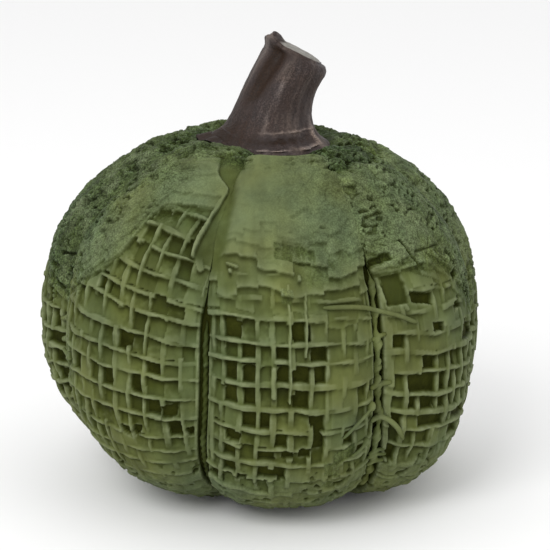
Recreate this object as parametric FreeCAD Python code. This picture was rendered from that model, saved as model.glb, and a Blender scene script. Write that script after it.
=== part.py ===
"""Ceramic pumpkin figure: a hollow lobed core with a net of gores over it, a cast stem and felt pads.

Millimetres. +Z is up, the floor is z = 0 and the front is -Y. The origin is the middle of the figure's box,
on the floor. Angles are in degrees, azimuths are measured from the front towards +X.
"""

import FreeCAD, Part
import math
import os

from FreeCAD import Vector

# driving dimensions
LOBE_EDGES = (-69, -15, 33, 81, 131, 182, 234)        # azimuths of the seven furrows
LOWER_LOBE_EDGES = (-74, -30, 33, 81, 131, 182, 234)  # and where they end at the base
HEART = 45.6                # height of the point that the furrows are cut towards
FURROW_DEPTH = 0.17         # of the distance from the heart, where the furrows are deepest
LOBE_ROUNDNESS = 2.4        # exponent of the lobe's cross-section
LOBE_REACH = 0.96           # how far across its half width a lobe follows that section
CROWN_SHIFT = (2.6, 0.0)    # the hand-made body leans: its crown and its base are off its middle
BASE_SHIFT = (5.2, 3.7)
CROWN_SLOPE = 0.05          # the crown is lower towards +X by this much of the distance
CREST = (                   # (radius, height) down the outside of a lobe's crest
    (16.4, 91.4), (20.5, 92.0), (26.0, 90.4), (34.5, 85.7), (45.6, 77.0), (54.0, 64.6), (57.8, 46.0),
    (56.2, 28.0), (49.6, 14.0), (40.6, 5.4), (33.0, 2.0), (28.0, 1.5),
)
NET_THICKNESS = 2.2         # from the core's surface to the top of the net
NET_GAP = 0.15              # between core and net
WALL = 4.2                  # of the core
CORE_TOP = 89.2             # height of the flat seat at the crown
CORE_TOP_RADIUS = 13.6
BASE_HEIGHT = 1.8           # height of the flat base, which is the thickness of the felt
BASE_RADIUS = 26.6
ROWS = 26                   # of the body's surface from crown to base
COLUMNS_PER_LOBE = 12
SEAM_MARGIN = 1.6           # from a furrow's line to the edge of a gore
STRAND_RADIUS = 0.95
STRAND_RISE = 2.5           # of a seam strand's middle over the bottom of the furrow
STRAND_COLUMNS = 8
SPIGOT_RADIUS = 7.0
SPIGOT_END = 81.0           # height of the spigot's lower end
SOCKET_RADIUS = 8.4
BEDDING_RADIUS = 12.8
BEDDING_GAP = 0.1
FOOT_HEIGHT = 90.3          # of the underside of the stem's foot
STEM_RINGS = (              # (shift towards +X, height, tilt, half width, half depth)
    (0.0, FOOT_HEIGHT, 0, 15.0, 14.6), (0.0, 91.2, 0, 14.7, 14.2), (-0.3, 92.6, 0, 12.6, 12.0),
    (-0.4, 95.0, 2, 10.8, 10.3), (-0.2, 98.5, 5, 9.6, 9.2), (0.7, 102.4, 11, 9.0, 8.7),
    (2.3, 106.3, 20, 8.9, 8.5), (4.6, 110.2, 29, 8.8, 8.3), (6.8, 113.2, 37, 8.7, 8.2),
)
STEM_RIBS = 5
STEM_RIB_DEPTH = 0.05       # of the stem's radius
STEM_COLUMNS = 40
VENT_RADIUS = 5.0
PAD_RADIUS = 6.0
PAD_RING = 17.5             # radius of the circle that the pads lie on
PAD_AZIMUTHS = (45, 135, 225, 315)
DEGREE = 3


def smoothstep(value):
    """0 below 0, 1 above 1 and smooth between."""
    value = min(max(value, 0.0), 1.0)
    return value * value * (3 - 2 * value)


def uniform_knots(count, periodic):
    """Knots and multiplicities of a cubic spline with this many poles."""
    if periodic:
        return [float(i) for i in range(count + 1)], [1] * (count + 1)
    inner = count - DEGREE - 1
    return [float(i) for i in range(inner + 2)], [DEGREE + 1] + [1] * inner + [DEGREE + 1]


def spline_surface(rows, closed):
    """A cubic surface with these rows of poles, closed along the rows or open."""
    row_knots, row_mults = uniform_knots(len(rows), False)
    knots, mults = uniform_knots(len(rows[0]), closed)
    surface = Part.BSplineSurface()
    surface.buildFromPolesMultsKnots(
        rows, row_mults, mults, row_knots, knots, False, closed, DEGREE, DEGREE)
    return surface


def solid_of(faces):
    """The closed solid that these faces bound."""
    shell = Part.Shell(faces)
    shell.sewShape()
    solid = Part.Solid(shell)
    if solid.Volume < 0:
        solid.reverse()
    return solid


def ring_solid(rings):
    """A solid through closed rings of points, with a flat cap at each end."""
    surface = spline_surface(rings, True)
    first, last = surface.bounds()[:2]
    caps = [Part.Face(Part.Wire([surface.uIso(end).toShape()])) for end in (first, last)]
    return solid_of([surface.toShape()] + caps)


def slab_solid(outer_rows, inner_rows):
    """A curved slab between two grids of points that are alike."""
    outer, inner = (spline_surface(rows, False) for rows in (outer_rows, inner_rows))
    u_first, u_last, v_first, v_last = outer.bounds()
    sides = []
    for end in (u_first, u_last):
        sides.append(Part.makeRuledSurface(outer.uIso(end).toShape(), inner.uIso(end).toShape()))
    for end in (v_first, v_last):
        sides.append(Part.makeRuledSurface(outer.vIso(end).toShape(), inner.vIso(end).toShape()))
    return solid_of([outer.toShape(), inner.toShape()] + sides)


def crest_rows():
    """(distance from the heart, angle from straight up) along the crest, evenly spaced."""
    curve = Part.BSplineCurve()
    curve.interpolate([Vector(radius, 0, height - HEART) for radius, height in CREST])
    rows = []
    for point in curve.discretize(Number=ROWS):
        rows.append((point.Length, math.atan2(point.x, point.z)))
    return rows


def crown_weight(angle):
    """1 at the crown and 0 from the shoulder down, at an angle from straight up, in radians."""
    return smoothstep((math.radians(60) - angle) / math.radians(40))


def base_weight(angle):
    """0 down to the waist and 1 at the base."""
    return smoothstep((angle - math.radians(95)) / math.radians(55))


def lobes(angle):
    """Azimuths of each lobe's two edges."""
    weight = base_weight(angle)
    edges = [upper + weight * (lower - upper) for upper, lower in zip(LOBE_EDGES, LOWER_LOBE_EDGES)]
    return list(zip(edges, edges[1:] + [edges[0] + 360]))


def furrow(across):
    """0 on a lobe's crest, where across is 0, growing towards its edges, where it is -1 and 1."""
    return 1 - math.sqrt(1 - (LOBE_REACH * abs(across)) ** LOBE_ROUNDNESS)


def body_point(distance, angle, lobe, across, inset=0.0):
    """A point of the body's outside, or inset below it, on a lobe of these edges."""
    edge, following = lobe
    turn = math.radians(edge + (following - edge) * (across + 1) / 2)
    reach = distance * (1 - FURROW_DEPTH * furrow(across) * math.sin(angle)) - inset
    crown, base = crown_weight(angle), base_weight(angle)
    x, y = (reach * math.sin(angle) * part for part in (math.sin(turn), -math.cos(turn)))
    return Vector(x + crown * CROWN_SHIFT[0] + base * BASE_SHIFT[0],
                  y + crown * CROWN_SHIFT[1] + base * BASE_SHIFT[1],
                  HEART + reach * math.cos(angle) - crown * CROWN_SLOPE * x)


def steps_across(margin=0.0):
    """Places across a lobe, from a margin inside one edge to that inside the other."""
    reach = 1 - margin
    return [reach * (2 * column / COLUMNS_PER_LOBE - 1) for column in range(COLUMNS_PER_LOBE + 1)]


def flat_ring(radius, height, shift, angle):
    """A level ring of points with a trace of the furrows in it."""
    ring = []
    for edge, following in lobes(angle):
        for across in steps_across()[:-1]:
            reach = radius * (1 - FURROW_DEPTH * furrow(across) * math.sin(angle))
            turn = math.radians(edge + (following - edge) * (across + 1) / 2)
            ring.append(Vector(reach * math.sin(turn) + shift[0], shift[1] - reach * math.cos(turn), height))
    return ring


def cylinder(radius, bottom, top, middle):
    """An upright cylinder."""
    return Part.makeCylinder(radius, top - bottom, Vector(middle[0], middle[1], bottom))


def make_lobed_solid(inset, top, top_radius, base, base_radius):
    """The body's shape, inset, with a flat crown and a flat base."""
    rows = crest_rows()
    rings = [flat_ring(top_radius, top, CROWN_SHIFT, rows[0][1])]
    for distance, angle in rows:
        rings.append([body_point(distance, angle, lobe, across, inset)
                      for lobe in lobes(angle) for across in steps_across()[:-1]])
    rings.append(flat_ring(base_radius, base, BASE_SHIFT, rows[-1][1]))
    return ring_solid(rings)


def make_core():
    """The hollow ceramic core, with the stem's socket and the vent."""
    outside = make_lobed_solid(NET_THICKNESS, CORE_TOP, CORE_TOP_RADIUS, BASE_HEIGHT, BASE_RADIUS)
    inside = make_lobed_solid(NET_THICKNESS + WALL, CORE_TOP - WALL, CORE_TOP_RADIUS - WALL / 2,
                              BASE_HEIGHT + WALL, BASE_RADIUS - WALL / 2)
    core = outside.cut(inside)
    core = core.cut(cylinder(SOCKET_RADIUS, CORE_TOP - 2 * WALL, CORE_TOP + WALL, CROWN_SHIFT))
    return core.cut(cylinder(VENT_RADIUS, BASE_HEIGHT - WALL, BASE_HEIGHT + 2 * WALL, BASE_SHIFT))


def make_gore(number):
    """The net over one lobe, from furrow to furrow, as a slab of its thickness."""
    grids = []
    for inset in (0.0, NET_THICKNESS - NET_GAP):
        rows = []
        for distance, angle in crest_rows():
            lobe = lobes(angle)[number]
            half_width = distance * math.sin(angle) * math.radians(lobe[1] - lobe[0]) / 2
            places = steps_across(SEAM_MARGIN / half_width)
            rows.append([body_point(distance, angle, lobe, across, inset) for across in places])
        grids.append(rows)
    return slab_solid(*grids)


def make_seam_strand(number):
    """The strand down the furrow at the first edge of a lobe."""
    middles, outwards = [], []
    for distance, angle in crest_rows()[2:-2]:
        lobe = lobes(angle)[number]
        middles.append(body_point(distance, angle, lobe, -1, NET_THICKNESS - STRAND_RISE))
        outwards.append(middles[-1] - body_point(distance, angle, lobe, -1, NET_THICKNESS))
    rings = []
    for index, middle in enumerate(middles):
        along = middles[min(index + 1, len(middles) - 1)] - middles[max(index - 1, 0)]
        across = along.cross(outwards[index]).normalize()
        away = across.cross(along).normalize()
        ring = []
        for column in range(STRAND_COLUMNS):
            turn = 2 * math.pi * column / STRAND_COLUMNS
            ring.append(middle + (across * math.cos(turn) + away * math.sin(turn)) * STRAND_RADIUS)
        rings.append(ring)
    return ring_solid(rings)


def make_stem():
    """The ribbed stem with its flared foot, slanted cut and spigot."""
    rings = []
    for shift, height, tilt, half_width, half_depth in STEM_RINGS:
        slope = math.radians(tilt)
        ring = []
        for column in range(STEM_COLUMNS):
            turn = 2 * math.pi * column / STEM_COLUMNS
            rib = 1 + STEM_RIB_DEPTH * math.cos(STEM_RIBS * turn)
            along = half_width * rib * math.cos(turn)
            ring.append(Vector(CROWN_SHIFT[0] + shift + along * math.cos(slope),
                               CROWN_SHIFT[1] + half_depth * rib * math.sin(turn),
                               height - along * math.sin(slope)))
        rings.append(ring)
    return ring_solid(rings).fuse(cylinder(SPIGOT_RADIUS, SPIGOT_END, FOOT_HEIGHT + 2, CROWN_SHIFT))


def make_bedding():
    """The cement round the spigot and under the foot."""
    sleeve = cylinder(SOCKET_RADIUS - BEDDING_GAP, CORE_TOP - WALL, CORE_TOP + BEDDING_GAP, CROWN_SHIFT)
    flange = cylinder(BEDDING_RADIUS, CORE_TOP + BEDDING_GAP, FOOT_HEIGHT - BEDDING_GAP, CROWN_SHIFT)
    spigot_room = cylinder(SPIGOT_RADIUS + BEDDING_GAP, SPIGOT_END, FOOT_HEIGHT, CROWN_SHIFT)
    return sleeve.fuse(flange).cut(spigot_room)


def make_pad(azimuth):
    """One round felt pad under the base."""
    turn = math.radians(azimuth)
    middle = (BASE_SHIFT[0] + PAD_RING * math.sin(turn), BASE_SHIFT[1] - PAD_RING * math.cos(turn))
    return cylinder(PAD_RADIUS, 0, BASE_HEIGHT, middle)


def make_parts():
    """Every node's name and shape."""
    parts = {"body_core": make_core(), "stem": make_stem(), "stem_bedding": make_bedding()}
    for number in range(len(LOBE_EDGES)):
        parts[f"weave_panel_{number + 1}"] = make_gore(number)
        parts[f"seam_strand_{number + 1}"] = make_seam_strand(number)
    for number, azimuth in enumerate(PAD_AZIMUTHS, 1):
        parts[f"felt_pad_{number}"] = make_pad(azimuth)
    return parts


def main():
    """Centre the figure on the origin and write each node."""
    os.makedirs("parts", exist_ok=True)
    parts = make_parts()
    box = Part.makeCompound(list(parts.values())).optimalBoundingBox()
    middle = Vector(-box.Center.x, -box.Center.y, 0)
    for name, shape in parts.items():
        shape.translate(middle)
        print(f"{name}: valid {shape.isValid()}, {len(shape.Solids)} solid, {shape.Volume:.0f} mm3")
        shape.exportStep(f"parts/{name}.step")
    print(f"moved by {middle.x:.2f}, {middle.y:.2f}; {box.XLength:.1f} x {box.YLength:.1f} x {box.ZMax:.1f} mm")


main()
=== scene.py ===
"""Looks of the ceramic pumpkin figure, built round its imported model.

The frame is in metres. The net, the seams and the stem are worked out in millimetres and scaled by MM when
their meshes are made. +Z is up, -Y is the front, and azimuths run from the front towards +X. On a lobe, s is
the distance across from its middle line, t is the distance down from the net's upper edge, half is half the
lobe's width there, and inside holds the distances from its left and right edges.
"""
import math
from types import SimpleNamespace

import bpy
import numpy as np
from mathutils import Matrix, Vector
from mathutils.bvhtree import BVHTree


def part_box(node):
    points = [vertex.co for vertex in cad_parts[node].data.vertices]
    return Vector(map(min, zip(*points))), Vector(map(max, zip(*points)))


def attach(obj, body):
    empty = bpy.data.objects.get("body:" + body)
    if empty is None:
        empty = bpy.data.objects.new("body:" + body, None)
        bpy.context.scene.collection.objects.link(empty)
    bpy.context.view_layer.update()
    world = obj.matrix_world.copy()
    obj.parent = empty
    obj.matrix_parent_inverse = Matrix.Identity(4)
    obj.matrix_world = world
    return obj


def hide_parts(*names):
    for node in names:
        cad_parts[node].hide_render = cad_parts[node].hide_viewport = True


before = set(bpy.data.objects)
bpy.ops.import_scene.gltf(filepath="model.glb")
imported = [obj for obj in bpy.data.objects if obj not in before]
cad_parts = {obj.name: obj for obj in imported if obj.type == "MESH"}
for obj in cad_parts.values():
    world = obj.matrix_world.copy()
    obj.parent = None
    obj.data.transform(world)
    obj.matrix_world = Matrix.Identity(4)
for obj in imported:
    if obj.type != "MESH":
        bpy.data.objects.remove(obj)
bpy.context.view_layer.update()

MM = 0.001
LOBES = 7
GRID_MM = 0.285  # spacing of a gore's mesh
COARSE_ROWS, COARSE_COLUMNS = 81, 41  # places where the core's surface is measured, per lobe
TOP_ANGLE, BOTTOM_ANGLE = 13.0, 149.0  # degrees from straight up: where the net begins and ends
WARP_PITCH, WEFT_PITCH = 4.1, 5.3
SUNK = -0.35  # height of a pocket's floor: just inside the core's surface
BACK = -0.6  # height of the net's hidden back
BACK_SKIP = 10  # the back's grid is this much coarser
STRAND_MIDDLE, STRAND_SWING = 1.5, 0.2  # height of a strand's top, and how far it goes over and under
STRAND_EDGE = 0.32  # width of a strand's rounded side
LEDGE_REACH = 1.6  # how far the darkening below an edge spreads: the dark wash, with painted shade under the ledge
NET_AT_FOOT, NET_RISE = 0.3, 2.65  # the net's greatest height at the stem's foot, and how much more elsewhere
HOLE_DEPTH = -1.8  # from the sheet's height down to the core
RAY_START = 0.09  # metres from the heart: outside the whole figure
LATTICE = 96  # cells across a square of random values, which then repeats


# ---- numbers

def smooth(value):
    """0 below 0, 1 above 1 and smooth between."""
    value = np.clip(value, 0.0, 1.0)
    return value * value * (3 - 2 * value)


def edge(inside, width):
    """1 inside an edge and 0 outside, from the distance inside it and the width of the slope between."""
    return smooth(inside / width + 0.5)


def bump(value, middle, width):
    """1 at the middle, falling to 0 on both sides."""
    return np.exp(-((value - middle) / width) ** 2)


def unit(vectors):
    """The same directions with length 1."""
    return vectors / np.linalg.norm(vectors, axis=-1, keepdims=True)


def lattice(seed, low=-1.0, high=1.0):
    """Random values on a square lattice."""
    return np.random.default_rng(seed).uniform(low, high, (LATTICE, LATTICE))


def at_cell(values, x, y):
    """The lattice's value at each point's cell."""
    column = np.floor(x).astype(int) % LATTICE
    row = np.floor(y).astype(int) % LATTICE
    return values[column, row]


def between(values, x, y):
    """The lattice's values, with smooth steps between its points."""
    column, row = np.floor(x).astype(int), np.floor(y).astype(int)
    part_x, part_y = smooth(x - column), smooth(y - row)
    near, far = (values[(column + i) % LATTICE, row % LATTICE] * (1 - part_y)
                 + values[(column + i) % LATTICE, (row + 1) % LATTICE] * part_y for i in (0, 1))
    return near * (1 - part_x) + far * part_x


def noise(x, y, size, seed):
    """Smooth noise between -1 and 1 with bumps of about this size."""
    turned_x, turned_y = x * 0.83 + y * 0.56, y * 0.83 - x * 0.56
    first = between(lattice(seed), turned_x / size + 40.3, turned_y / size + 40.7)
    second = between(lattice(seed + 1), x / size * 2.1 + 40.1, y / size * 2.1 + 40.9)
    return (first + 0.5 * second) / 1.5


def wave(x, length, seed):
    """A wandering line between about -1 and 1."""
    phases = np.random.default_rng(seed).uniform(0, 2 * np.pi, 3)
    return (np.sin(2 * np.pi * x / length + phases[0]) * 0.6
            + np.sin(2 * np.pi * x / length * 1.9 + phases[1]) * 0.35
            + np.sin(2 * np.pi * x / length * 3.7 + phases[2]) * 0.15)


def spline_weights(count, places):
    """Weights that turn values at count even points into smooth ones at places from 0 to 1."""
    weights = np.zeros((len(places), count))
    position = np.asarray(places) * (count - 1)
    first = np.clip(np.floor(position).astype(int), 0, count - 2)
    part = position - first
    cubic = ((1 - part) ** 3 / 6, (3 * part ** 3 - 6 * part ** 2 + 4) / 6,
             (-3 * part ** 3 + 3 * part ** 2 + 3 * part + 1) / 6, part ** 3 / 6)
    for offset, share in zip((-1, 0, 1, 2), cubic):
        column = np.clip(first + offset, 0, count - 1)
        np.add.at(weights, (np.arange(len(places)), column), share)
    return weights


def blur(values, passes):
    """Neighbouring grid values mixed this many times."""
    for _ in range(passes):
        for axis in (0, 1):
            padded = np.pad(values, [(1, 1) if a == axis else (0, 0) for a in (0, 1)], mode="edge")
            low, high = (padded[:-2], padded[2:]) if axis == 0 else (padded[:, :-2], padded[:, 2:])
            values = 0.5 * values + 0.25 * (low + high)
    return values


# ---- the core's surface

def tree_of(node):
    """A search tree of a CAD node's faces."""
    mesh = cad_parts[node].data
    return BVHTree.FromPolygons([v.co for v in mesh.vertices], [p.vertices for p in mesh.polygons])


def middle_of(*nodes):
    """The middle of these nodes' boxes, in millimetres."""
    corners = [np.array(corner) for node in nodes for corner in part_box(node)]
    return (np.min(corners, axis=0) + np.max(corners, axis=0)) / 2 / MM


core_tree = tree_of("body_core")
HEART = middle_of("body_core")
CROWN_SHIFT = middle_of("stem_bedding") - HEART
BASE_SHIFT = middle_of(*(f"felt_pad_{n}" for n in range(1, 5))) - HEART


def lean(angle):
    """How far the body's own axis is off the heart, at angles from straight up in degrees."""
    crown = smooth((60 - angle) / 40)[..., None]
    base = smooth((angle - 95) / 55)[..., None]
    return (crown * CROWN_SHIFT + base * BASE_SHIFT)[..., :2]


def furrow_line(number):
    """Angles from straight up, and the azimuth of one furrow at each, from its seam strand."""
    points = np.array([v.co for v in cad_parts[f"seam_strand_{number}"].data.vertices]) / MM - HEART
    angle = np.degrees(np.arctan2(np.hypot(points[:, 0], points[:, 1]), points[:, 2]))
    points[:, :2] -= lean(angle)
    azimuth = np.degrees(np.arctan2(points[:, 0], -points[:, 1]))
    azimuth = (azimuth - azimuth[0] + 180) % 360 - 180 + azimuth[0]
    stops = np.arange(np.ceil(angle.min()) + 2, angle.max() - 2, 3.0)
    means = [azimuth[np.abs(angle - stop) < 3].mean() for stop in stops]
    return stops, np.array(means)


FURROWS = [furrow_line(number + 1) for number in range(LOBES)]


def furrow_azimuth(number, angle):
    """The azimuth of a furrow, counted on past the last one round to the first again."""
    turns, index = divmod(number, LOBES)
    azimuth = np.interp(angle, *FURROWS[index])
    first = FURROWS[0][1][0]
    return (azimuth - first) % 360 + first + 360 * turns if index else azimuth + 360 * turns


def surface_points(angle, azimuth):
    """Points of the core's outside, in millimetres, at angles from straight up and azimuths in degrees."""
    slope, turn = np.radians(angle), np.radians(azimuth)
    ways = np.stack([np.sin(slope) * np.sin(turn), -np.sin(slope) * np.cos(turn), np.cos(slope)], axis=-1)
    ways[..., :2] += lean(angle) / HEART[2]
    ways = unit(ways)
    found = np.empty(ways.shape)
    for place in np.ndindex(angle.shape):
        way = Vector(ways[place])
        start = Vector(HEART * MM) + way * RAY_START
        found[place] = core_tree.ray_cast(start, -way)[0]
    return found / MM


def edge_gap(furrow, t):
    """Distance from a furrow's line to a gore's edge: nothing at the crown, open further down."""
    width, start = SEAMS[furrow % LOBES].gap
    return 0.03 + (width - 0.03) * smooth((t - start) / 12)


def outward(points):
    """The ways out of the body over a grid of points: between square to it and away from its heart."""
    normal = unit(np.cross(np.gradient(points, axis=0), np.gradient(points, axis=1)))
    radial = points - HEART
    radial[..., :2] -= lean(np.full(1, 90.0))
    radial = unit(radial)
    normal *= np.sign(np.sum(normal * radial, axis=-1, keepdims=True))
    return unit(normal * 0.5 + radial * 0.5)


def gore_surface(number):
    """The core's surface under one lobe's net: points, ways out, s, t, half and inside."""
    rows = np.linspace(TOP_ANGLE, BOTTOM_ANGLE, COARSE_ROWS)
    across = np.linspace(-1, 1, COARSE_COLUMNS)
    edges = [furrow_azimuth(number + side, rows) for side in (0, 1)]
    azimuths = edges[0][:, None] + (edges[1] - edges[0])[:, None] * (across + 1) / 2
    coarse = surface_points(np.repeat(rows[:, None], COARSE_COLUMNS, axis=1), azimuths)
    length = np.linalg.norm(np.diff(coarse[:, COARSE_COLUMNS // 2], axis=0), axis=-1).sum()
    half = np.linalg.norm(np.diff(coarse, axis=1), axis=-1).sum(axis=1) / 2
    down = spline_weights(COARSE_ROWS, np.linspace(0, 1, int(length / GRID_MM)))
    fine_half = down @ half
    columns = int(2 * half.max() / GRID_MM)
    side = np.linspace(-1, 1, columns)
    points = np.einsum("ra,abk->rbk", down, coarse)
    gaps = [edge_gap(number + side, np.linspace(0, length, len(down))) for side in (0, 1)]
    low, high = gaps[0] / fine_half - 1, 1 - gaps[1] / fine_half
    place = low[:, None] + (high - low)[:, None] * (side + 1) / 2
    fine = np.stack([spline_weights(COARSE_COLUMNS, (place[row] + 1) / 2) @ points[row]
                     for row in range(len(down))])
    step = np.linalg.norm(np.diff(fine[:, columns // 2], axis=0), axis=-1)
    t = np.concatenate([[0], np.cumsum(step)])[:, None] + 0 * place
    half = fine_half[:, None]
    inside = (place - low[:, None]) * half, (high[:, None] - place) * half
    return fine, outward(fine), place * half, t, half + 0 * t, inside


# ---- the net

def strand_side(distance, half_width):
    """1 on a strand and 0 beside it, with a rounded side."""
    return edge(half_width - distance, STRAND_EDGE)


def breaks(seed, share):
    """Where this share of the stretches between two crossings is broken: lattices of its start and end."""
    broken = lattice(seed, 0, 1) < share
    return np.where(broken, lattice(seed + 1, 0.1, 0.3), 2.0), lattice(seed + 2, 0.75, 1.3)


def unbroken(gaps, x, y, part, length):
    """1 along a strand and 0 where it is broken off."""
    start, end = (at_cell(values, x, y) for values in gaps)
    return 1 - edge((part - start) * length, 0.4) * edge((end - part) * length, 0.4)


def strand_height(offset, half_width, over, lift, present, upper_edge=STRAND_EDGE):
    """Height of one strand, from the offset to its middle line. Slip may draw out its upper side."""
    top = STRAND_MIDDLE + lift + STRAND_SWING * np.sign(over) * np.abs(over) ** 0.6
    top -= 0.05 * (offset / half_width) ** 2
    sides = edge(half_width - offset, STRAND_EDGE) * edge(half_width + offset, upper_edge)
    return SUNK + (top - SUNK) * sides * present


def corner_slip(seed, x, y):
    """Height of the slip that has gathered in the corners of some openings."""
    start = at_cell(lattice(seed, 0.75, 1.9), x, y)
    away = (np.abs(2 * (x - np.floor(x)) - 1) ** 3 + np.abs(2 * (y - np.floor(y)) - 1) ** 3) ** (1 / 3)
    return SUNK + 1.6 * smooth((away - start) / 0.22)


def cell_floor(seed, style, x, y, closed):
    """Height of the slip inside each opening: a deep pocket, a slope to the strand below, or a full plate."""
    kind = at_cell(lattice(seed, 0, 1), x, y)
    share = np.clip(style.open - np.minimum(closed, 0), 0, 0.95)
    climb = at_cell(lattice(seed + 1, 0, 1), x, y)
    part = y - np.floor(y)
    pocket = SUNK + 0.9 * np.maximum(climb - 0.6, 0) * part ** 2
    start = 0.05 + 0.6 * (kind - share) / (1 - share)
    slope = start + (0.55 + 0.55 * climb) * part ** 1.3 + 0.1 * noise(x, y, 0.6, seed + 2)
    slope += 0.22 * noise(x * 3.4, y * 4.4, 1.1, seed + 12) * (climb > 0.4)
    patch = noise(np.floor(x) * WARP_PITCH, np.floor(y) * WEFT_PITCH, 12.0, seed + 4) + 1.2 * closed
    tread = at_cell(lattice(seed + 6, 0, 1), x / 1.7, y)
    plate = 0.95 + 0.28 * tread + (0.15 + 0.4 * climb) * part ** 1.2
    floor = np.where(patch > style.plates, plate, np.where(kind < share, pocket, slope))
    return np.maximum(floor, corner_slip(seed + 10, x, y))


def at_places(values, s, t, half, length):
    """A gore's grid values at other places of it."""
    rows, columns = values.shape
    row = np.clip(np.rint(t / length * (rows - 1)), 0, rows - 1).astype(int)
    column = np.clip(np.rint((s / half + 1) / 2 * (columns - 1)), 0, columns - 1).astype(int)
    return values[row, column]


def weave(seed, style, s, t, half, closed):
    """Height of the open weave. Closed is 0 where pockets are open and 1 where slip has filled them."""
    rng = np.random.default_rng(seed)
    top_slope, low_slope = style.slope
    slope = top_slope + (low_slope - top_slope) * smooth((t - 36) / 46)
    narrow = (half.max() / half) ** 0.45
    q = s * narrow + style.phase
    x = q / WARP_PITCH + 30
    y = (t - slope * s - style.sag * s * s) / WEFT_PITCH + 10
    checks = np.indices((LATTICE, LATTICE)).sum(axis=0) % 2 * 2.0 - 1
    checks *= np.where(lattice(seed + 2, 0, 1) < 0.12, -1, 1)
    wide, wide_weft = lattice(seed + 3, 0.75, 1.2), lattice(seed + 4, 0.7, 1.3)
    warp_gaps, weft_gaps = breaks(seed + 10, 0.17), breaks(seed + 20, 0.06)
    down, aside = (y - np.floor(y) - 0.5) * WEFT_PITCH, (x - np.floor(x) - 0.5) * WARP_PITCH / narrow
    closed_there = at_places(closed, s - aside, t - down - slope * aside, half, t.max())
    height = cell_floor(seed + 30, style, x, y, closed_there)
    for column in range(int(x.min()) - 1, int(x.max()) + 2):
        shift = rng.uniform(-0.22, 0.22)
        offset = q - (column - 30 + shift) * WARP_PITCH - 0.22 * wave(t, 34, seed + 100 + column)
        width = style.width * rng.uniform(0.75, 1.2) * between(wide, x * 0 + column, y + 0.5)
        present = unbroken(warp_gaps, x * 0 + column, y, y - np.floor(y), WEFT_PITCH)
        over = between(checks, x * 0 + column, y)
        height = np.maximum(height, strand_height(offset, width, over, rng.uniform(-0.2, 0.05), present))
    for row in range(int(y.min()) - 1, int(y.max()) + 2):
        shift = rng.uniform(-0.15, 0.15)
        offset = (y - row - shift) * WEFT_PITCH - 0.3 * wave(s, 27, seed + 300 + row)
        width = 1.05 * style.width * rng.uniform(0.75, 1.2) * between(wide_weft, x + 0.5, y * 0 + row)
        present = unbroken(weft_gaps, x, y * 0 + row, x - np.floor(x), WARP_PITCH)
        over, lift = -between(checks, x, y * 0 + row), rng.uniform(-0.05, 0.15)
        height = np.maximum(height, strand_height(offset, width, over, lift, present, 0.7))
    return height


def bar(s, t, ends, half_width):
    """1 along a slightly wavy line from one (s, t) to another, and 0 beside it."""
    (s0, t0), (s1, t1) = ends
    along = np.hypot(s1 - s0, t1 - t0)
    part = ((s - s0) * (s1 - s0) + (t - t0) * (t1 - t0)) / along
    offset = ((s - s0) * (t1 - t0) - (t - t0) * (s1 - s0)) / along
    offset += 0.3 * half_width * np.sin(part * 0.5)
    beyond = np.maximum(np.maximum(-part, part - along), 0)
    return strand_side(np.hypot(offset, beyond), half_width)


def block(s, t, sides, tilt):
    """1 inside a slightly ragged shape and 0 outside. Its top and bottom slope down to the right by tilt."""
    left, right, top, bottom = sides
    ragged = 0.45 * noise(s, t, 1.8, 77)
    across = np.minimum(s - left, right - s)
    inside = np.minimum(across, np.minimum(t - top - tilt * s, bottom - t + tilt * s))
    return edge(inside + ragged, 0.4)


def crags(s, t, size, seed):
    """Height of rough lumps of slip, with creases between them and pits."""
    lumps = noise(s, t, size, seed) + 0.9 * noise(s, t, size * 2.3, seed + 2)
    lumps += 0.5 * noise(s, t, size / 2, seed + 4)
    creases = 1 - smooth(np.abs(noise(s, t, size * 1.8, seed + 6)) / 0.13)
    pits = smooth((noise(s + t * 0.3, t * 1.6, size * 1.1, seed + 8) - 0.28) / 0.14)
    pits = pits * smooth(noise(s, t, size * 5, seed + 10) * 2 + 0.7)
    return 0.34 * lumps - 0.4 * creases - 0.85 * pits


def slip_cover(number, style, s, t, half):
    """The closed sheet round the crown: how much of it is there, its height, and where it ends."""
    seed = 1000 * (number + 1) + 500
    end = np.interp(s / half, np.linspace(-1, 1, len(style.cover)), style.cover)
    steps = style.steps
    layers = ((0.85 * steps, 4.3, 0.25), (0.45 * steps, 5.1, 0.3), (0, 4.1, 0.32), (-4, 5.3, 0.32),
              (-9, 3.9, 0.22))
    cover, sheet = 0, 0.75
    for layer, (reach, width, step) in enumerate(layers):
        ragged = style.ragged * at_cell(lattice(seed + 10 * layer), s / width + 40.3 + 0.37 * layer, t * 0)
        ragged += 0.6 * style.ragged * noise(s, t, 8.0, seed + 10 * layer + 2)
        ragged += 0.3 * noise(s, t, 1.8, seed + 10 * layer + 4)
        there = edge(end + reach + ragged - t, 0.35)
        cover = np.maximum(cover, there)
        lip = smooth(1 - (end + reach + ragged - t) / 3)
        sheet += (step + style.lip * (reach >= 0) * lip) * there
    pleats = 0.24 * noise(s, t * 0.12, 2.6, seed + 52)
    return cover, sheet + pleats * style.pleats + 0.08 * noise(s, t, 5.0, seed + 54), end


def graininess(seed, style, s, t, half, cover_end):
    """How grainy the net is, and how much it belongs to the rough ring round the stem's foot, from 0 to 1."""
    across = s / half
    ring = np.interp(across, np.linspace(-1, 1, len(style.ring)), style.ring)
    ring = ring * smooth((20 - t + 2 * noise(s, t, 4.0, seed + 70)) / 4)
    left_grain, right_grain = style.grain
    share = (across + 1) / 2 + 0.25 * noise(s, t, 9.0, seed + 56)
    grain = left_grain + (right_grain - left_grain) * smooth(share)
    grain = grain * smooth((cover_end + 6 - t) / 8 + 0.5 * noise(s, t, 7.0, seed + 58))
    return np.maximum(grain, ring), ring


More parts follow.
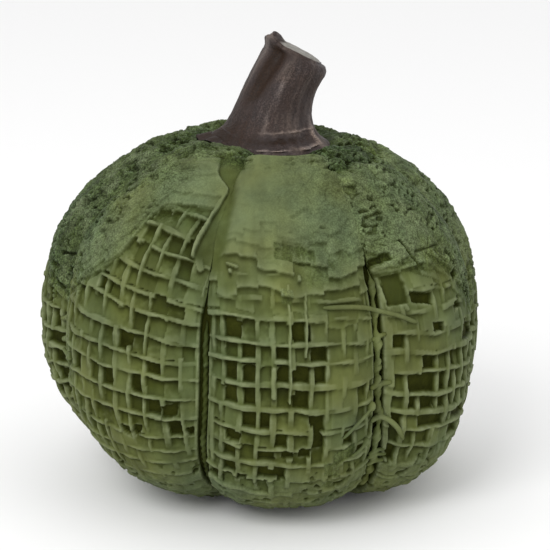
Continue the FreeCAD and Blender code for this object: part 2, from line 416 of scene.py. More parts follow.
def at_furrow(number, side, s, t, inside, height, low):
    """The net's height with its shelf and rim beside one furrow, and the depth of slip in the furrow."""
    seam = SEAMS[(number + side) % LOBES]
    width, start = seam.gap
    depth, end = seam.fill
    if seam.channel:
        stops, *widths = zip(*seam.channel)
        soft = (4.0, 0.4)[side]
        reach = np.interp(t, stops, widths[1 - side]) + 0.35 * noise(s, t, 3.0, 81)
        shelf = edge(reach - inside, soft) * smooth((end + 2 - t) / 4) * smooth((t - 12) / 3)
        height = height + shelf * (0.95 + 0.15 * noise(s, t, 3.0, 79) - height)
    slot = smooth((t - start) / 12)
    rim = strand_side(np.abs(inside - 0.75), 0.62 + 0.15 * wave(t, 17, 1000 * (number + 1) + 9 + side))
    height = np.maximum(height, SUNK + (1.45 - SUNK) * rim * slot * (1 - 0.6 * low) * seam.rim)
    height = SUNK + (height - SUNK) * (1 - slot * (1 - smooth(inside / 0.5)))
    filled = depth * np.exp(-(inside / 5) ** 2) * smooth((end - t) / 14) * smooth((t - 5) / 7)
    return height, filled


def closed_share(style, s, t, inside, low, cover_end):
    """How far slip has closed the weave: under the cover, low down, beside a hem and in the lobe's areas."""
    beside = smooth((style.hem - inside[1]) / 2) * smooth((98 - t) / 10)
    closed = 1.1 * low + 0.9 * smooth((cover_end + style.steps - t) / 8) + 0.6 * beside
    for (left, right, top, bottom), change in style.areas:
        closed += change * ((s > left) & (s < right) & (t > top) & (t < bottom))
    return closed


def open_net(seed, style, s, t, half, closed, low):
    """Height of the weave, bent out of line by its folds, with the lobe's own bars."""
    bend = style.bend
    bent_s = s + bend * noise(s, t, 8.0, seed + 40) + low * noise(s, t, 5.0, seed + 44)
    bent_t = t + bend * noise(s, t, 8.0, seed + 42) + low * noise(s, t, 5.0, seed + 46)
    height = weave(seed, style, bent_s, bent_t, half, closed)
    for ends, half_width, top in style.bars:
        height = np.maximum(height, SUNK + (top - SUNK) * bar(s, t, ends, half_width))
    return height


def roughened(seed, s, t, height, grain, ring, low):
    """The height with crumbs where the net is grainy, in the ring, and with lumps and holes low down."""
    height = height + grain * crags(s, t, 1.7, seed + 60) + ring * (crags(s, t, 2.6, seed + 90) - 0.7)
    holes = smooth((noise(s, t, 2.3, seed + 110) - 0.4) / 0.12)
    lumps = 0.4 + 0.4 * noise(s, t, 3.4, seed + 68) + 0.14 * noise(s, t, 1.4, seed + 64)
    return height + low * (lumps - 1.3 * holes)


def marked(seed, style, s, t, height, sheet, grain):
    """The height and the grain with the lobe's own blocks, cuts and spots."""
    for sides, tilt, lift, fibrous in style.blocks:
        patch = block(s, t, sides, tilt)
        fibres = 0.22 * fibrous * noise(s * 3, t * 0.9, 1.7, seed + 80)
        height = height + patch * (sheet + lift + fibres - height)
        grain = np.maximum(grain, 0.45 * fibrous * patch)
    for ends, half_width, top in style.cuts:
        height = height + bar(s, t, ends, half_width) * (top - height)
    # Spots stand up as small lumps, and the crest paint turns them pale: painted highlights where glints are.
    for middle_s, middle_t, width, tall, top in style.spots:
        near = np.hypot((s - middle_s) / width, (t - middle_t) / tall) + 0.5 * noise(s, t, 1.2, seed + 48)
        height = height + smooth((1.5 - near) * 1.6) * (top - height) * (near < 1.5)
    return height, grain


def net_height(number, s, t, half, inside):
    """Height of one lobe's net over the core, the slip in the furrows beside it, and how grainy it is."""
    seed = 1000 * (number + 1)
    style = STYLES[number]
    low = smooth((t - t.max() + 36) / 14)
    cover, sheet, cover_end = slip_cover(number, style, s, t, half)
    closed = closed_share(style, s, t, inside, low, cover_end)
    height = open_net(seed, style, s, t, half, closed, low)
    height = height + cover * (np.maximum(sheet, height - 0.3) - height)
    grain, ring = graininess(seed, style, s, t, half, cover_end)
    height = roughened(seed, s, t, height, grain, ring, low)
    height, grain = marked(seed, style, s, t, height, sheet, np.maximum(grain, 0.2 * low))
    filled = 0
    for side in (0, 1):
        height, slip = at_furrow(number, side, s, t, inside[side], height, low)
        filled += slip
    hem = smooth((t.max() - t) / 0.8)
    height = np.clip(height, SUNK, NET_AT_FOOT + NET_RISE * smooth((t - style.foot) / 5))
    return height * hem + SUNK * (1 - hem), filled * hem, grain


def grid_mesh(name, top, back, attributes):
    """A closed mesh: a fine grid on top, a coarse one behind it, and walls between their rims."""
    rows, columns = top.shape[:2]
    back_rows, back_columns = (sorted(set(range(0, count - 1, BACK_SKIP)) | {count - 1})
                               for count in (rows, columns))
    fine = np.arange(rows * columns).reshape(rows, columns)
    behind = back[np.ix_(back_rows, back_columns)].reshape(-1, 3)
    coarse = np.arange(len(behind)).reshape(len(back_rows), len(back_columns)) + rows * columns
    faces = quads(fine)[:, ::-1].tolist() + quads(coarse).tolist()
    for marks, fine_rim, back_rim, flip in (
            (back_columns, fine[0], coarse[0], True), (back_columns, fine[-1], coarse[-1], False),
            (back_rows, fine[:, 0], coarse[:, 0], False), (back_rows, fine[:, -1], coarse[:, -1], True)):
        for index in range(len(marks) - 1):
            run = fine_rim[marks[index]:marks[index + 1] + 1].tolist()
            face = run + [int(back_rim[index + 1]), int(back_rim[index])]
            faces.append(face if flip else face[::-1])
    padded = {label: np.concatenate([values.reshape(-1), np.zeros(len(behind))])
              for label, values in attributes.items()}
    return new_piece(name, np.concatenate([top.reshape(-1, 3), behind]), faces, padded)


def quads(numbers):
    """The four corners of every cell of a grid of point numbers."""
    corners = (numbers[:-1, :-1], numbers[:-1, 1:], numbers[1:, 1:], numbers[1:, :-1])
    return np.stack(corners, axis=-1).reshape(-1, 4)


def set_values(mesh, label, values):
    """A value for each of a mesh's points, under a name that materials read."""
    layer = mesh.attributes.new(label, "FLOAT", "POINT")
    layer.data.foreach_set("value", np.asarray(values, np.float32))


def new_piece(name, points, faces, attributes=None):
    """A smooth mesh object from points in millimetres, with a value for each point by name."""
    mesh = bpy.data.meshes.new(name)
    mesh.from_pydata((np.asarray(points) * MM).tolist(), [], faces)
    for label, values in (attributes or {}).items():
        set_values(mesh, label, values)
    mesh.polygons.foreach_set("use_smooth", np.ones(len(mesh.polygons), bool))
    mesh.update()
    piece = bpy.data.objects.new(name, mesh)
    bpy.context.scene.collection.objects.link(piece)
    return piece


def finish_piece(piece, material, node):
    """The piece stands for a CAD node, which it hides, and takes this material."""
    piece.data.materials.append(material)
    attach(piece, "root")
    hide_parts(node)


def wash_and_shade_below_ledges(height, reach):
    """How far each point lies under an edge a little further up, which darkens the paint there: the dark wash
    that collects under it, with painted shade.
    """
    under = np.zeros(height.shape)
    for step in range(1, reach + 1):
        drop = (height[:-step] - height[step:]) * (1 - step / (reach + 1))
        under[step:] = np.maximum(under[step:], drop)
    return blur(under, 1)


def make_gore(number):
    """The net over one lobe."""
    surface, way, s, t, half, inside = gore_surface(number)
    height, filled, grain = net_height(number, s, t, half, inside)
    # Paint values: crest makes crests paler (dry brush with painted highlights) and dips darker (painted
    # shade); relief darkens low places and wash darkens places under ledges (dark wash with painted shade).
    crest = np.clip((height - blur(height, 9)) / 0.6, -1, 1)
    relief = np.clip(height / (STRAND_MIDDLE + STRAND_SWING), 0, 1)
    wash = np.clip(wash_and_shade_below_ledges(height, int(LEDGE_REACH / GRID_MM)) / 0.5, 0, 1)
    top = surface + way * (height + filled)[..., None]
    piece = grid_mesh(f"net_gore_{number + 1}", top, surface + way * BACK,
                      {"relief": relief, "crest": crest, "wash": wash, "grain": grain})
    finish_piece(piece, net_paint, f"weave_panel_{number + 1}")


# ---- seams

def furrow_points(number, angles, across, heights):
    """Points over a furrow, in millimetres, from angles, azimuths counted from the furrow, and heights."""
    base = surface_points(angles, furrow_azimuth(number, angles) + across)
    return base + unit(base - HEART) * heights[..., None]


def furrow_route(number, points, count):
    """A smooth path through (angle, azimuth from the furrow, height) points."""
    places = spline_weights(len(points), np.linspace(0, 1, count)) @ np.array(points, float)
    return furrow_points(number, *places.T)


def ring_faces(rings, sides, turn=-1):
    """Faces of a closed skin over rings of points. Turn is the order of the first ring's own face."""
    numbers = np.arange(rings * sides).reshape(rings, sides)
    around = np.concatenate([numbers, numbers[:, :1]], axis=1)
    return quads(around).tolist() + [numbers[0][::turn].tolist(), numbers[-1][::-turn].tolist()]


def tube(path, radii, twist=0.0, sides=12):
    """Points and faces of a closed tube with round ends along a path."""
    path = np.asarray(path, float)
    along = unit(np.gradient(path, axis=0))
    first = unit(np.cross(along, (0.3, 0.2, 0.93)))
    second = np.cross(along, first)
    length = np.concatenate([[0], np.cumsum(np.linalg.norm(np.diff(path, axis=0), axis=1))])
    turn = np.linspace(0, 2 * np.pi, sides, endpoint=False)
    plies = 1 + 0.16 * np.cos(2 * (turn[None, :] - twist * length[:, None])) * (twist > 0)
    reach = np.asarray(radii)[:, None] * plies
    rings = (path[:, None] + first[:, None] * (reach * np.cos(turn))[..., None]
             + second[:, None] * (reach * np.sin(turn))[..., None])
    return rings.reshape(-1, 3), ring_faces(len(path), sides, 1)


def rounded(count, radius, ends=0.55):
    """Radii of a strand that is blunt at both ends."""
    place = np.linspace(-1, 1, count)
    return radius * np.maximum(1 - np.abs(place) ** 8 * ends, 0.05)


def merged(name, shapes, voxel):
    """One closed mesh round all these closed shapes."""
    points, faces, count = [], [], 0
    for shape_points, shape_faces in shapes:
        points.append(shape_points)
        faces += [[corner + count for corner in face] for face in shape_faces]
        count += len(shape_points)
    piece = new_piece(name, np.concatenate(points), faces)
    remesh = piece.modifiers.new("remesh", "REMESH")
    remesh.mode = "VOXEL"
    remesh.voxel_size = voxel * MM
    remesh.use_smooth_shade = True
    soften = piece.modifiers.new("soften", "SMOOTH")
    soften.factor = 0.5
    soften.iterations = 2
    evaluated = piece.evaluated_get(bpy.context.evaluated_depsgraph_get())
    mesh = bpy.data.meshes.new_from_object(evaluated)
    piece.modifiers.clear()
    piece.data = mesh
    return piece


def knot(number, angle, across, radius, height):
    """A round knot over a furrow."""
    ends = (angle - 0.7, across - 0.8, height), (angle + 0.4, across + 0.8, height)
    path = furrow_route(number, ends, 12)
    return tube(path, radius * np.sqrt(np.clip(1 - np.linspace(-1, 1, 12) ** 2, 0.02, 1)))


def rung(number, rng, style):
    """A short strand that ties the gores beside a furrow together."""
    angle, reach = rng.uniform(style.start + 8, 136), rng.uniform(2.6, 4.2)
    tilt = rng.uniform(-1.2, 1.2)
    points = [(angle + tilt * share, reach * share, style.rise + lift)
              for share, lift in ((-1, 0.1), (-0.5, 0.7), (0.5, 0.7), (1, 0.1))]
    return tube(furrow_route(number, points, 24), rounded(24, rng.uniform(0.5, 0.72)))


def main_strand(number, seed, style):
    """The twisted strand that runs down a furrow."""
    angles = np.linspace(style.start, 143, 240)
    across = style.sway * wave(angles, 37, seed)
    path = furrow_points(number, angles, across, style.rise + 0.25 * wave(angles, 29, seed + 1))
    swell = 1 + style.swell * np.sin(angles * 0.9 + wave(angles, 30, seed + 2))
    swell += 0.12 * wave(angles, 15, seed + 3)
    return tube(path, style.radius * swell * rounded(len(path), 1.0, 0.8), twist=1.3)


def make_seam(number):
    """The strand down one furrow, its knots, its rungs and its loose strands."""
    seed = 50 + 10 * number
    rng = np.random.default_rng(seed)
    style = SEAMS[number]
    rise = style.rise
    shapes = [main_strand(number, seed, style)]
    for _ in range(style.rungs):
        shapes.append(rung(number, rng, style))
    for _ in range(style.knots):
        angle, across, radius = rng.uniform(84, 138), rng.uniform(-0.8, 0.8), rng.uniform(1.0, 1.35)
        shapes.append(knot(number, angle, across, radius, rise + 0.5))
    for points, radius in style.free:
        shapes.append(tube(furrow_route(number, points, 60), rounded(60, radius)))
    for angle, across, radius in style.lumps:
        shapes.append(knot(number, angle, across, radius, rise + 0.7))
    piece = merged(f"net_seam_{number + 1}", shapes, 0.2)
    heights = np.array([core_tree.find_nearest(vertex.co)[3] / MM for vertex in piece.data.vertices])
    # Seam paint: darker the nearer the core (dark wash with painted shade), paler on its highest tops
    # (dry-brushed paint with painted highlights).
    set_values(piece.data, "relief", np.clip(heights / 2.6, 0, 0.9))
    set_values(piece.data, "crest", np.clip(heights - 2.3, 0, 1) * 0.5)
    for label in ("wash", "grain"):
        set_values(piece.data, label, heights * 0)
    finish_piece(piece, net_paint, f"seam_strand_{number + 1}")


# ---- stem

STEM_OUTLINE = (    # left x and z, right x and z, and half the depth, from the middle of the foot
    (-16.4, -3.2, 15.6, -3.2, 18.9), (-14.4, 0.6, 12.8, 0.4, 15.3), (-12.5, 3.1, 10.6, 2.9, 12.1),
    (-10.6, 6.0, 9.9, 5.7, 10.3), (-8.6, 10.0, 9.9, 8.7, 9.5), (-6.7, 14.6, 10.8, 12.2, 9.2),
    (-4.6, 19.2, 12.4, 15.1, 8.9), (-2.3, 23.3, 14.0, 17.0, 8.5), (-0.6, 26.2, 13.2, 19.2, 8.0),
)
STEM_ROWS, STEM_COLUMNS = 240, 280
FOOT_ROWS = STEM_ROWS // 8  # the lowest ones, which are fitted to the ground
FIN, KNOB = 198, 194        # degrees round the stem where its foot is drawn out, and where its top is broken
STEM_RIDGES = (     # how proud, and the place and size up the stem and round it in degrees
    (0.04, 0.29, 0.015, 303, 34), (0.07, 0.115, 0.012, 281, 8), (0.06, 0.12, 0.016, 318, 16),
    (0.035, 0.125, 0.009, 262, 12), (-0.035, 0.2, 0.04, 290, 40), (0.03, 0.24, 0.012, 205, 14),
    (0.02, 0.38, 0.08, 263, 3), (0.04, 0.22, 0.16, 338, 4), (0.012, 0.66, 0.12, 268, 6),
)
STEM_CUT = (        # the rings of the cut face: share of the rim's radius, and depth under the rim
    (0.975, -0.14), (0.94, -0.04), (0.9, 0.1), (0.84, 0.22), (0.7, 0.35), (0.5, 0.4), (0.3, 0.4), (0.1, 0.4),
)


def stem_knob(a):
    """How far the broken lump on the stem's left top stands up, round the stem."""
    return bump(a, KNOB, 36) * (1 + 0.4 * noise(a / 9, a * 0, 1.0, 715))


def stem_groove(a, v):
    """The groove that comes down from the knob, and the shoulder beside it, as shares of the radius."""
    middle = 236 - 26 * (1 - v)
    groove = -0.17 * bump(a, middle, 8 + 10 * v) * smooth((v - 0.45) / 0.2) * smooth((1.0 - v) / 0.08)
    shoulder = 0.03 * bump(a, middle + 22 + 6 * v, 6) * smooth((v - 0.6) / 0.15)
    return groove, shoulder * smooth((0.93 - v) / 0.1)


def stem_ridges(a, v, px):
    """The wrinkles and ridges, as shares of the radius."""
    wobble = v + 0.008 * noise(a / 9, a * 0, 1.0, 719)
    ridges = sum(depth * bump(wobble, high, tall) * bump(a + 2 * noise(px, v * 60, 3.0, 711), where, width)
                 for depth, high, tall, where, width in STEM_RIDGES)
    return ridges * (1 + 0.7 * noise(a / 6, v * 20, 1.0, 721))


def stem_places(a, v, reach, knob, px, py):
    """The side's points over the middle of the foot, from how far it reaches as a share of the radius."""
    outline = spline_weights(len(STEM_OUTLINE), v[:, 0]) @ np.array(STEM_OUTLINE)
    outline[0], outline[-1] = STEM_OUTLINE[0], STEM_OUTLINE[-1]
    left, right = outline[:, [0, 1]], outline[:, [2, 3]]
    middle, arm = (left + right) / 2, (right - left) / 2
    turn = np.radians(a)
    fin = bump(a, FIN, 12) * smooth((0.3 - v) / 0.3) ** 2
    top = smooth((v - 0.92) / 0.05)
    x = middle[:, :1] + arm[:, :1] * np.cos(turn) * (reach + 0.19 * fin)
    y = outline[:, 4:] * np.sin(turn) * reach
    z = middle[:, 1:] + arm[:, 1:] * np.cos(turn) * reach
    z = z - 0.05 * y * smooth((v - 0.8) / 0.2) + 2.1 * bump(a, FIN, 20) * smooth((0.34 - v) / 0.22)
    z = z + top * (1.4 * knob + 0.25 * noise(px, py, 2.0, 713) + 0.4 * knob * noise(px, py, 0.9, 727))
    return np.stack([x, y, z], axis=-1)


def stem_side(a, v):
    """The stem's side as points over the middle of its foot, and how pale each is. A goes round it in
    degrees, from its right over its back, and v goes up it from 0 to 1."""
    turn = np.radians(a)
    px, py = np.cos(turn) * 10, np.sin(turn) * 10
    knob = stem_knob(a)
    groove, shoulder = stem_groove(a, v)
    ridges = stem_ridges(a, v, px)
    ribs = 0.03 * np.cos(5 * turn + 0.6) + 0.015 * np.cos(9 * turn + 2 + 2 * v)
    fibres = noise(a / 3.2, v * 14 + px * 0.02, 1.6, 701)
    grit = noise(px * 3, py * 3 + v * 90, 1.2, 703)
    broad = noise(px, py + v * 22, 6.0, 705)
    bevel = (0.07 + 0.06 * (bump(a, 360, 30) + bump(a, 0, 30))) * smooth((v - 0.95) / 0.05) ** 2
    reach = 1 + ribs + groove + shoulder + ridges + 0.008 * fibres + 0.007 * grit + 0.022 * broad - bevel
    crumbs = smooth((v - 0.82) / 0.1) * noise(px, v * 30, 1.0, 729)
    reach = reach + knob * (0.07 * bump(v, 0.965, 0.03) + 0.03 * crumbs)
    # Darker brown in the groove and on the lower front left: brown paint, with painted shade.
    brown = 2.6 * groove - 0.25 * smooth((0.55 - v) / 0.3) * bump(a, 213, 30) - 0.1 * broad
    streaks = 0.07 * noise(a / 5, v * 3, 1.0, 725) + 0.16 * bump(a, 205, 12) * smooth((v - 0.5) / 0.2)
    # Paler on proud places and ridges, darker in dents: dry-brushed paint with painted highlights, and
    # painted shade.
    proud = (reach - blur(reach, 14)) * 8 * smooth((0.93 - v) / 0.04)
    return stem_places(a, v, reach, knob, px, py), np.clip(0.5 + proud + 8 * ridges + brown + streaks, 0, 1)


def settle(points):
    """Lift the foot's lowest rows so that they lie on the crown and, further out, on the net."""
    above = Vector((0, 0, HEART[2] * 3 * MM))
    middle = points[0].mean(axis=0)
    for row in range(FOOT_ROWS):
        for column, place in enumerate(points[row]):
            start = Vector((place[0], place[1], 0)) * MM + above
            ground = core_tree.ray_cast(start, Vector((0, 0, -1)))[0]
            if ground is not None:
                away = math.dist(place[:2], middle[:2])
                front = smooth(((middle[1] - place[1]) / away - 0.5) / 0.4)
                fin = bump(360 * column / STEM_COLUMNS, FIN, 20)
                fin = fin * (2.4 * smooth((away - 9.5) / 4) + 0.4 * smooth((away - 16) / 3))
                net = max(2.4 * smooth((away - 15.5) / 5) * (1 - front), fin)
                place[2] = max(place[2], ground.z / MM + 0.1 + net + 1.2 * row / FOOT_ROWS)
    return points


def cut_face(a, rim):
    """The slanted cut inside its rim, ring by ring: points, how pale they are, and how bare."""
    centre = rim.mean(axis=0)
    normal = np.cross(rim[STEM_COLUMNS // 4] - centre, rim[0] - centre)
    normal *= -np.sign(normal[2]) / np.linalg.norm(normal)
    rings = []
    for share, depth in STEM_CUT:
        x, y = rim[:, 0] * share, rim[:, 1] * share
        dents = depth + 0.14 * noise(x, y, 1.5, 709) - 0.6 * stem_knob(a) * noise(x, y, 1.3, 723)
        knob = stem_knob(a) * smooth((share - 0.35) / 0.35)
        flat = centre + (rim - centre) * share
        flat = flat - normal * (((flat - centre) @ normal) * (1 - knob) + dents)[:, None]
        tint = 0.45 + 0.4 * noise(flat[:, 0], flat[:, 1], 1.1, 717)
        rings.append((flat, tint, (share < 0.95) * smooth(2 - 3.5 * knob)))
    return zip(*rings)


def make_stem():
    """The cast stem: flared foot, fin, ribs, a groove, wrinkles at the foot and a slanted cut."""
    a, v = np.meshgrid(np.linspace(0, 360, STEM_COLUMNS, endpoint=False), np.linspace(0, 1, STEM_ROWS))
    side, side_tint = stem_side(a, v)
    foot = middle_of("stem_bedding")
    foot[2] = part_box("stem_bedding")[1][2] / MM
    side = settle(side + foot)
    face, face_tint, bare = cut_face(a[0], side[-1])
    points = np.concatenate([side, face])
    tint = np.concatenate([side_tint, face_tint])
    cut = np.concatenate([np.zeros(a.shape), bare])
    piece = new_piece("stem_cast", points.reshape(-1, 3), ring_faces(len(points), STEM_COLUMNS),
                      {"tint": tint.reshape(-1), "cut": cut.reshape(-1)})
    finish_piece(piece, stem_paint, "stem")


# ---- felt pads

def make_pad(number):
    """A felt disc with a soft rim and a hairy surface."""
    node = f"felt_pad_{number}"
    low, high = (np.array(corner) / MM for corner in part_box(node))
    middle, radius, thick = (low + high) / 2, (high[0] - low[0]) / 2, high[2] - low[2]
    profile = ((0.5, 0.0), (0.85, 0.0), (0.95, 0.04), (0.995, 0.2), (1.0, 0.5), (0.995, 0.8), (0.95, 0.97),
               (0.85, 1.0), (0.5, 1.0))
    turn = np.linspace(0, 2 * np.pi, 96, endpoint=False)
    rings = []
    for share, level in profile:
        fuzz = 1 + 0.012 * wave(turn, 0.4, 900 + number) * (share > 0.9)
        rings.append(np.stack([middle[0] + radius * share * fuzz * np.cos(turn),
                               middle[1] + radius * share * fuzz * np.sin(turn),
                               np.full(len(turn), low[2] + thick * level)], axis=-1))
    piece = new_piece(f"felt_disc_{number}", np.concatenate(rings), ring_faces(len(rings), len(turn)))
    finish_piece(piece, felt, node)


# ---- materials

OLIVE_DARK, OLIVE_DEEP = (0.017, 0.02, 0.002), (0.042, 0.051, 0.009)
OLIVE_MIDDLE, OLIVE_LIGHT, OLIVE_PALE = (0.078, 0.093, 0.028), (0.109, 0.126, 0.049), (0.17, 0.195, 0.1)
OLIVE_FROST = (0.13, 0.155, 0.078)
STEM_STAIN, STEM_MIDDLE, STEM_PALE = (0.016, 0.008, 0.004), (0.031, 0.023, 0.021), (0.15, 0.125, 0.11)


class Paint:
    """A material whose nodes are added one by one. Sizes of textures are in metres."""

    def __init__(self, name, roughness, specular):
        self.material = bpy.data.materials.new(name)
        self.material.use_nodes = True
        self.tree = self.material.node_tree
        self.shader = self.tree.nodes["Principled BSDF"]
        self.shader.inputs["Roughness"].default_value = roughness
        self.shader.inputs["Specular IOR Level"].default_value = specular
        self.place = self.tree.nodes.new("ShaderNodeTexCoord").outputs["Object"]

    def add(self, kind, **inputs):
        """A new shader node with these sockets linked or set."""
        node = self.tree.nodes.new("ShaderNode" + kind)
        for name, value in inputs.items():
            self.feed(node.inputs[name.replace("_", " ")], value)
        return node

    def feed(self, socket, value):
        """Link the socket to another node's output, or set it to a plain value."""
        if isinstance(value, bpy.types.NodeSocket):
            self.tree.links.new(value, socket)
        else:
            socket.default_value = value

    def attribute(self, name):
        """A value that each point of the mesh carries."""
        node = self.add("Attribute")
        node.attribute_name = name
        return node.outputs["Fac"]

    def noise(self, size, detail=2.0, rough=0.5, stretch=None):
        place = self.place
        if stretch:
            place = self.add("Mapping", Vector=place, Scale=stretch).outputs["Vector"]
        node = self.add("TexNoise", Vector=place, Scale=1 / size, Detail=detail, Roughness=rough)
        return node.outputs["Fac"]

    def ramp(self, value, stops):
        """Greys or colours between (position, grey or colour) stops."""
        node = self.add("ValToRGB", Fac=value)
        elements = node.color_ramp.elements
        while len(elements) < len(stops):
            elements.new(0.5)
        for element, (position, colour) in zip(elements, stops):
            element.position = position
            element.color = (*colour, 1) if isinstance(colour, tuple) else (colour, colour, colour, 1)
        return node.outputs["Color"]

    def times(self, first, second):
        """The product of two values, kept between 0 and 1."""
        node = self.tree.nodes.new("ShaderNodeMath")
        node.operation = "MULTIPLY"
        node.use_clamp = True
        self.feed(node.inputs[0], first)
        self.feed(node.inputs[1], second)
        return node.outputs["Value"]

    def mix(self, share, first, second, blend="MIX"):
        node = self.tree.nodes.new("ShaderNodeMix")
        node.data_type = "RGBA"
        node.blend_type = blend
        self.feed(node.inputs[0], share)
        for socket, value in ((node.inputs[6], first), (node.inputs[7], second)):
            self.feed(socket, (*value, 1) if isinstance(value, tuple) else value)
        return node.outputs[2]

    def tint(self, colour, share, tones):
        """The colour multiplied by the tones, by this share."""
        return self.mix(share, colour, tones, "MULTIPLY")

    def bump(self, height, distance, strength=0.6):
        """Fine unevenness of the surface."""
        node = self.add("Bump", Height=height, Distance=distance, Strength=strength)
        self.feed(self.shader.inputs["Normal"], node.outputs["Normal"])

    def colour(self, value):
        self.feed(self.shader.inputs["Base Color"], value)

    def roughness(self, value):
        self.feed(self.shader.inputs["Roughness"], value)


def brushed_olive(paint, relief, crest, wash):
    """Olive, dark in the recesses and under ledges (dark wash with painted shade), uneven from the brush and
    paler on the crests (dry-brushed paint with painted highlights).
    """
    # Lower places are painted darker and higher ones paler: the dark wash in the recesses, with painted
    # shade.
    stops = ((0.0, OLIVE_DARK), (0.3, OLIVE_DEEP), (0.7, OLIVE_MIDDLE), (1.0, OLIVE_LIGHT))
    colour = paint.ramp(relief, stops)
    hue = paint.ramp(paint.noise(0.022, 3), ((0.35, (0.88, 0.98, 1.25)), (0.65, (1.04, 1.0, 0.88))))
    colour = paint.tint(colour, 0.8, hue)
    strokes = paint.ramp(paint.noise(0.0035, 3, 0.5, (1.0, 0.3, 0.22)), ((0.38, 0.85), (0.62, 1.13)))
    colour = paint.tint(colour, 0.9, strokes)
    patchy = paint.ramp(paint.noise(0.0065, 4, 0.6), ((0.3, 0.78), (0.7, 1.18)))
    colour = paint.tint(colour, 0.75, patchy)
    # Crests get paler paint: dry-brushed paint, with painted highlights where glints are.
    dry_brush_and_highlight = paint.times(crest, paint.ramp(paint.noise(0.0016, 3), ((0.35, 0.35), (0.7, 1.0))))
    colour = paint.mix(dry_brush_and_highlight, colour, OLIVE_PALE)
    # Dips below the nearby height get darker paint: painted shade.
    colour = paint.mix(paint.times(crest, -0.8), colour, OLIVE_DARK)
    # Places under ledges get darker paint: the dark wash, with painted shade.
    return paint.mix(paint.times(wash, 0.8), colour, OLIVE_DARK)


def grainy_olive(paint, colour, relief, grain):
    """The colour with blotches, frost and specks where the net is grainy."""
    blotches = paint.ramp(paint.noise(0.0035, 3, 0.6), ((0.32, 0.5), (0.62, 1.2)))
    colour = paint.tint(colour, paint.times(grain, 0.8), blotches)
    cool = paint.ramp(grain, ((0.0, 1.0), (0.8, (0.88, 0.95, 0.92)), (1.0, (0.54, 0.64, 0.6))))
    colour = paint.tint(colour, 1.0, cool)
    frost = paint.ramp(paint.noise(0.008, 3, 0.6), ((0.5, 0.0), (0.68, 0.7)))
    frost = paint.times(frost, paint.ramp(relief, ((0.7, 0.0), (1.0, 1.0))))
    colour = paint.mix(paint.times(grain, frost), colour, OLIVE_FROST)
    stops = ((0.4, 0.3), (0.52, (0.93, 0.95, 0.98)), (0.66, (1.5, 1.6, 1.7)))
    specks = paint.ramp(paint.noise(0.0004, 1.5, 0.6), stops)
    return paint.tint(colour, paint.times(grain, 0.8), specks)


def olive_paint():
    """The net's paint."""
    paint = Paint("net_paint", 0.75, 0.06)
    relief, crest, wash, grain = (paint.attribute(label) for label in ("relief", "crest", "wash", "grain"))
    paint.colour(grainy_olive(paint, brushed_olive(paint, relief, crest, wash), relief, grain))
    paint.roughness(paint.ramp(paint.noise(0.003, 3), ((0.3, 0.55), (0.7, 0.8))))
    fine = paint.mix(0.5, paint.noise(0.0006, 3, 0.6), paint.noise(0.0024, 2))
    paint.bump(fine, 0.0002)
    return paint.material


def stem_material():
    """Brown-grey paint, streaked along the stem, brown in the grooves (with painted shade), pale on the
    ridges (dry-brushed paint with painted highlights) and pale on the cut.
    """
    paint = Paint("stem_paint", 0.65, 0.2)
    tint, cut = paint.attribute("tint"), paint.attribute("cut")
    streak = paint.noise(0.003, 4, 0.6, (1.8, 1.8, 0.4))
    colour = paint.ramp(tint, ((0.2, STEM_STAIN), (0.48, STEM_MIDDLE), (0.9, STEM_PALE)))
    colour = paint.tint(colour, 0.8, paint.ramp(streak, ((0.3, 0.78), (0.7, 1.22))))
    warm = paint.ramp(paint.noise(0.011, 3), ((0.4, (1.06, 0.94, 0.86)), (0.62, (0.92, 0.98, 1.12))))
    colour = paint.tint(colour, 0.8, warm)
    grit = paint.ramp(paint.noise(0.00035, 1.5, 0.6), ((0.4, 0.62), (0.5, 1.0), (0.64, 1.7)))
    colour = paint.tint(colour, paint.ramp(paint.noise(0.005, 2), ((0.4, 0.2), (0.6, 0.8))), grit)
    grey = paint.ramp(paint.noise(0.0016, 4, 0.6), ((0.3, (0.13, 0.125, 0.11)), (0.7, (0.27, 0.255, 0.23))))
    paint.colour(paint.mix(cut, colour, grey))
    paint.roughness(paint.ramp(streak, ((0.3, 0.5), (0.7, 0.75))))
    paint.bump(paint.mix(0.5, paint.noise(0.0006, 3, 0.6), streak), 0.0004)
    return paint.material


def plain_paint(name, roughness, specular, patches, dark, pale, grit, bump=(0.0003,)):
    """A material that is patchy between two colours, with a fine grit."""
    paint = Paint(name, roughness, specular)
    paint.colour(paint.ramp(paint.noise(*patches), ((0.3, dark), (0.7, pale))))
    paint.bump(paint.noise(*grit), *bump)
    return paint.material


# ---- how the lobes and furrows differ

def lobe_style(**changes):
    """How one lobe's net differs from a plain stretch of it. Rows of values run from its left to its right.

    open: share of open cells. plates: how rarely slip fills a group of cells. width: half of a strand's.
    slope: of the weft, at the top and lower down. sag, bend: of the strands. phase: shift of the warp.
    cover: t where the closed sheet ends. ragged, steps, lip, pleats: its outline, layers, edges and folds.
    grain, ring: roughness of the sheet and beside the stem. hem: width of the closed strip at the right.
    foot: t where the stem's foot ends. areas: (sides, how much more closed). bars, cuts: (ends, half width,
    top). blocks: (sides, tilt, height over the sheet, how fibrous). spots: (s, t, half sizes, top).
    """
    style = dict(open=0.35, plates=0.42, width=0.72, slope=(0.03, 0.0), sag=0.0, bend=0.45, phase=0.0,
                 cover=(34, 36, 40, 38, 34), ragged=2.2, steps=6, lip=0.08, pleats=0.2, grain=(0.8, 0.8),
                 ring=(0.9, 0.9), hem=0, foot=4, areas=(), bars=(), cuts=(), blocks=(), spots=())
    return SimpleNamespace(**{**style, **changes})


def hole(left, right, top, bottom, tilt=0):
    """A block that goes down to the core."""
    return (left, right, top, bottom), tilt, HOLE_DEPTH, 0


